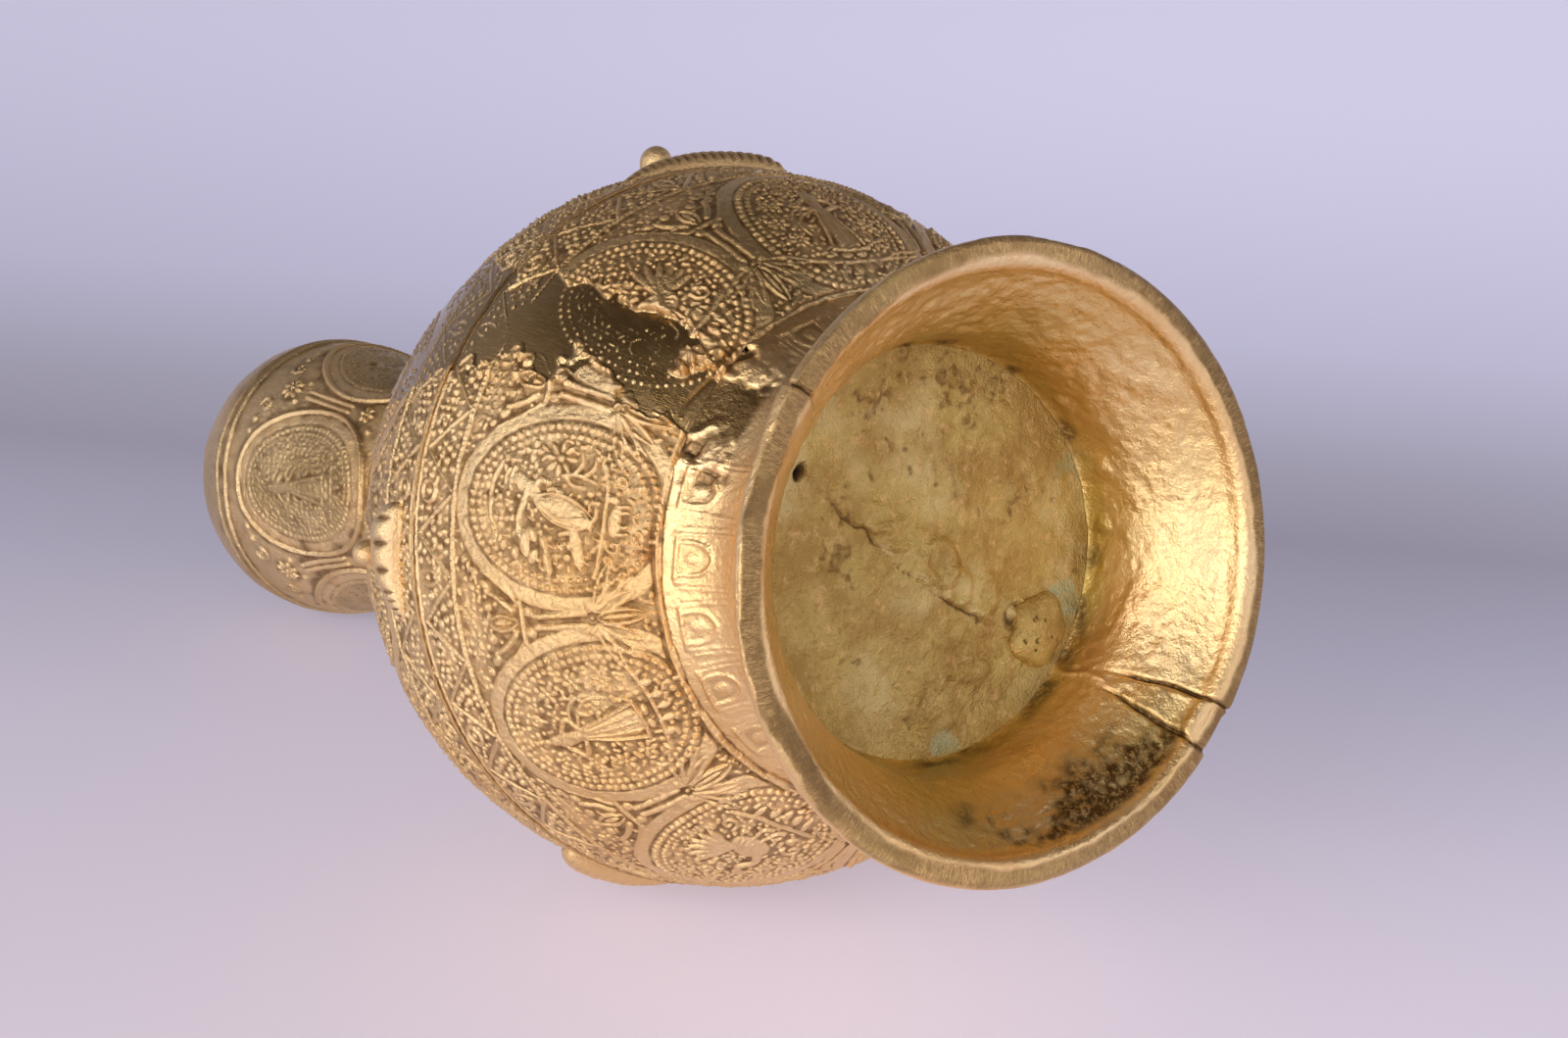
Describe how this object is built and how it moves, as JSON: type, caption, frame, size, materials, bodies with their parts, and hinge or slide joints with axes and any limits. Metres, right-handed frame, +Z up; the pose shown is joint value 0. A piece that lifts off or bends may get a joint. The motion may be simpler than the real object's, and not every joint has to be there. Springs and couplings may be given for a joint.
{
  "type": "vase",
  "caption": "Cast bronze vase with a flared hollow foot, round body with oval pearl-bordered medallions, ribbed lugs and a tall neck ending in a rounded head.",
  "frame": {"origin": "centre of the foot's rim, on the surface that the vase stands on", "axes": "+Z up the vase's axis from the foot to the mouth; -Y towards the medallion that the picture shows whole; +X to its right"},
  "size_m": [0.1377, 0.1369, 0.27],
  "materials": {
    "gilt_bronze": "cast relief, worn to a polish on the high points",
    "raw_bronze": "filed bronze",
    "patina": "rough cast, olive and turquoise patina"
  },
  "bodies": {
    "root": {"foot": "gilt_bronze", "foot_split_tongue": "raw_bronze", "base_plate": "patina", "base_plug": "patina", "body_lower": "gilt_bronze", "body_upper": "gilt_bronze", "seam_wire": "gilt_bronze", "neck": "gilt_bronze", "lug_top": "gilt_bronze", "knob_top": "gilt_bronze", "lug_left": "gilt_bronze", "knob_left": "gilt_bronze", "lug_bottom": "gilt_bronze", "knob_bottom": "gilt_bronze", "lug_right": "gilt_bronze", "knob_right": "gilt_bronze"}
  },
  "joints": []
}
